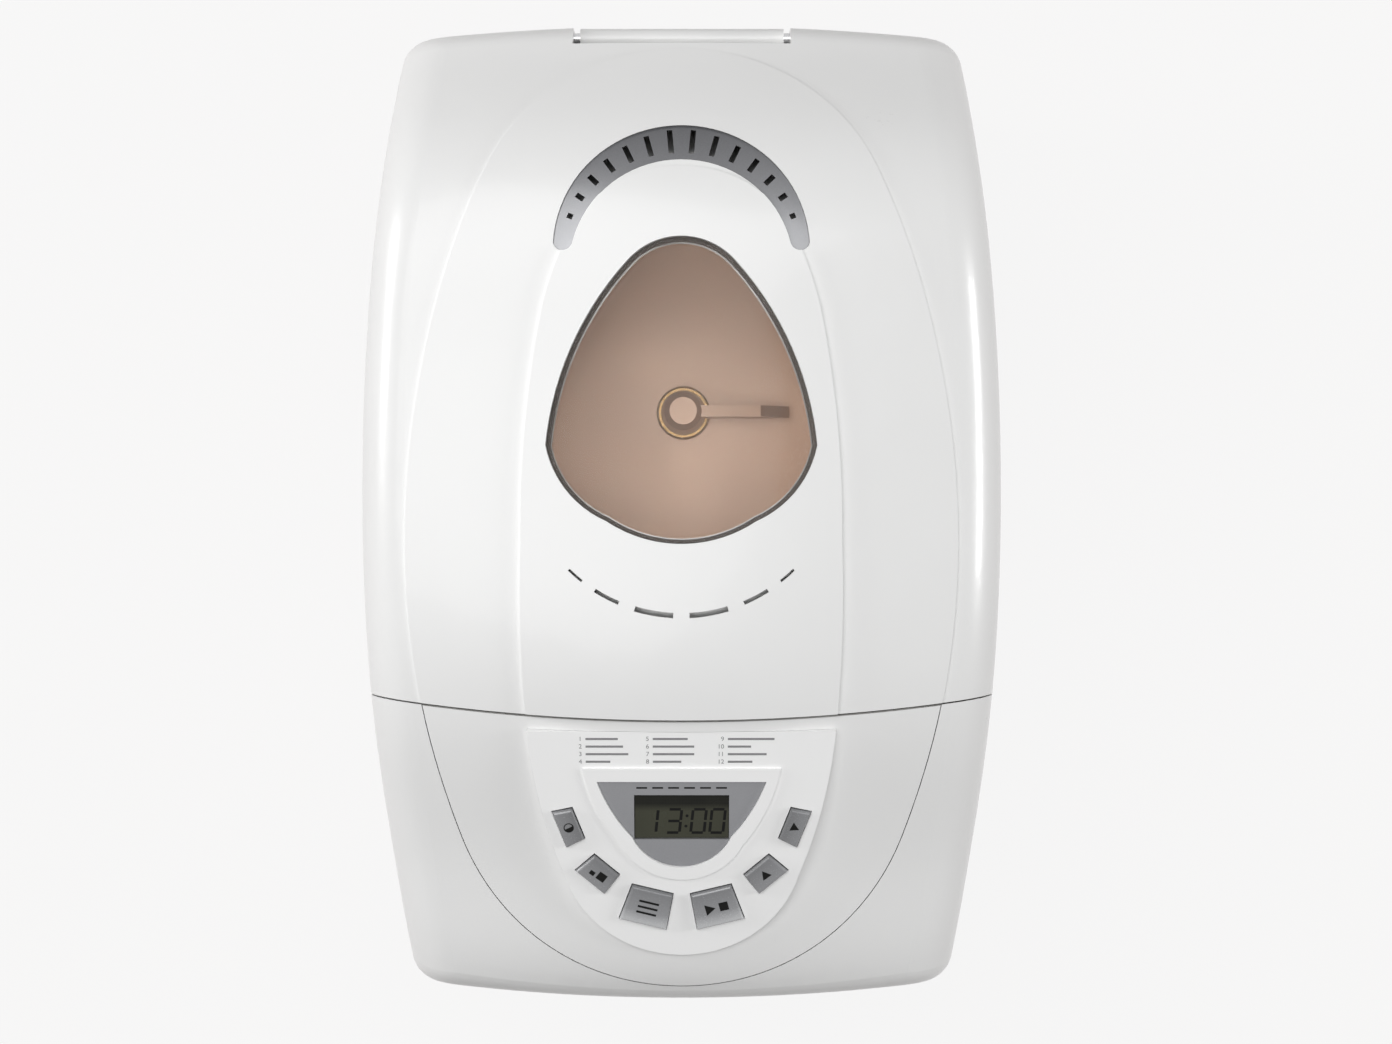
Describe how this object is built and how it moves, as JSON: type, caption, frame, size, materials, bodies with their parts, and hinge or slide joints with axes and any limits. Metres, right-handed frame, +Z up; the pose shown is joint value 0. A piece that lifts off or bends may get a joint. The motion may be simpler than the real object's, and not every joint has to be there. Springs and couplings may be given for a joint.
{
  "type": "bread machine",
  "caption": "Bread machine with a bowed white housing, a hinged lid with an egg-shaped window, a sloping key panel, and a removable pan with a belt-driven kneading paddle.",
  "frame": {"origin": "centre of the footprint, on the plane the feet stand on", "axes": "+Z up, +X to the user's right, +Y to the back where the lid is hinged"},
  "size_m": [0.2502, 0.388, 0.3044],
  "materials": {
    "white_shell": "gloss",
    "grey_trim": "satin",
    "grey_keys": "satin",
    "window_glass": "clear",
    "display_glass": "gloss",
    "dark_plastic": "matte",
    "pale_plastic": "satin",
    "soft_rubber": "matte",
    "sheet_steel": "brushed",
    "bright_steel": "polished",
    "element_steel": "matte",
    "ceramic": "matte",
    "cast_aluminium": "cast",
    "pan_coating": "satin non-stick",
    "bearing_bronze": "plain",
    "circuit_board": "satin",
    "switch_black": "matte"
  },
  "bodies": {
    "machine": {"outer_housing": "white_shell", "base_plate": "dark_plastic", "rubber_feet": "soft_rubber", "chamber_deck": "pale_plastic", "cord_gland": "dark_plastic", "hinge_pin": "bright_steel", "control_panel": "white_shell", "button_deck": "white_shell", "display_bezel": "grey_trim", "lcd_module": "display_glass", "control_board": "circuit_board", "key_switches": "switch_black", "baking_chamber": "sheet_steel", "heating_element": "element_steel", "element_clips": "sheet_steel", "element_insulators": "ceramic", "temperature_probe": "bright_steel", "pan_seat": "cast_aluminium", "chassis_plate": "sheet_steel", "chassis_screws": "bright_steel", "motor_can": "sheet_steel", "bearing_housing": "cast_aluminium", "shaft_bushes": "bearing_bronze", "drive_belt": "soft_rubber", "power_board": "circuit_board", "transformer": "dark_plastic", "motor_capacitor": "dark_plastic"},
    "lid": {"lid_shell": "white_shell", "lid_liner": "sheet_steel", "window_pane": "window_glass", "inner_pane": "window_glass", "window_retainer": "soft_rubber", "vent_grille": "grey_trim"},
    "drive_spindle": {"drive_shaft": "bright_steel", "drive_pulley": "cast_aluminium", "drive_coupling": "cast_aluminium"},
    "motor_rotor": {"motor_shaft": "bright_steel", "motor_pulley": "cast_aluminium"},
    "pan": {"bread_pan": "pan_coating", "pan_collar": "cast_aluminium", "pan_bush": "bearing_bronze", "handle_studs": "bright_steel"},
    "handle": {"pan_handle": "bright_steel"},
    "paddle_spindle": {"paddle_shaft": "bright_steel", "pan_coupling": "cast_aluminium"},
    "paddle": {"kneading_paddle": "pan_coating"},
    "shade_key": {"shade_button": "grey_keys"},
    "size_key": {"size_button": "grey_keys"},
    "menu_key": {"menu_button": "grey_keys"},
    "start_key": {"start_button": "grey_keys"},
    "later_key": {"later_button": "grey_keys"},
    "sooner_key": {"sooner_button": "grey_keys"}
  },
  "joints": [
    {"name": "lid_hinge", "type": "hinge", "parent": "machine", "child": "lid", "pos_m": [0, 0.1902, 0.2425], "axis": [-1, 0, 0], "range_deg": [0, 80]},
    {"name": "drive_spin", "type": "hinge", "parent": "machine", "child": "drive_spindle", "pos_m": [0, 0.046, 0.031], "axis": [0, 0, 1], "continuous": true},
    {"name": "motor_spin", "type": "hinge", "parent": "machine", "child": "motor_rotor", "pos_m": [0, -0.128, 0.031], "axis": [0, 0, 1], "continuous": true},
    {"name": "pan_lift", "type": "slide", "parent": "machine", "child": "pan", "axis": [0, 0, 1], "range_m": [0, 0.012]},
    {"name": "handle_swing", "type": "hinge", "parent": "pan", "child": "handle", "pos_m": [0, 0.046, 0.198], "axis": [0, -1, 0], "range_deg": [0, 180]},
    {"name": "paddle_spin", "type": "hinge", "parent": "pan", "child": "paddle_spindle", "pos_m": [0, 0.046, 0.09], "axis": [0, 0, 1], "continuous": true},
    {"name": "paddle_lift", "type": "slide", "parent": "paddle_spindle", "child": "paddle", "axis": [0, 0, 1], "range_m": [0, 0.024]},
    {"name": "shade_press", "type": "slide", "parent": "machine", "child": "shade_key", "axis": [0, 0.342, -0.9397], "range_m": [0, 0.0012], "stiffness_N_per_m": 600, "springref_m": -0.001},
    {"name": "size_press", "type": "slide", "parent": "machine", "child": "size_key", "axis": [0, 0.342, -0.9397], "range_m": [0, 0.0012], "stiffness_N_per_m": 600, "springref_m": -0.001},
    {"name": "menu_press", "type": "slide", "parent": "machine", "child": "menu_key", "axis": [0, 0.342, -0.9397], "range_m": [0, 0.0012], "stiffness_N_per_m": 600, "springref_m": -0.001},
    {"name": "start_press", "type": "slide", "parent": "machine", "child": "start_key", "axis": [0, 0.342, -0.9397], "range_m": [0, 0.0012], "stiffness_N_per_m": 600, "springref_m": -0.001},
    {"name": "later_press", "type": "slide", "parent": "machine", "child": "later_key", "axis": [0, 0.342, -0.9397], "range_m": [0, 0.0012], "stiffness_N_per_m": 600, "springref_m": -0.001},
    {"name": "sooner_press", "type": "slide", "parent": "machine", "child": "sooner_key", "axis": [0, 0.342, -0.9397], "range_m": [0, 0.0012], "stiffness_N_per_m": 600, "springref_m": -0.001}
  ],
  "couplings": [
    {"joint": "motor_spin", "follows": "drive_spin", "ratio": 3.64},
    {"joint": "paddle_spin", "follows": "drive_spin", "ratio": 1}
  ]
}
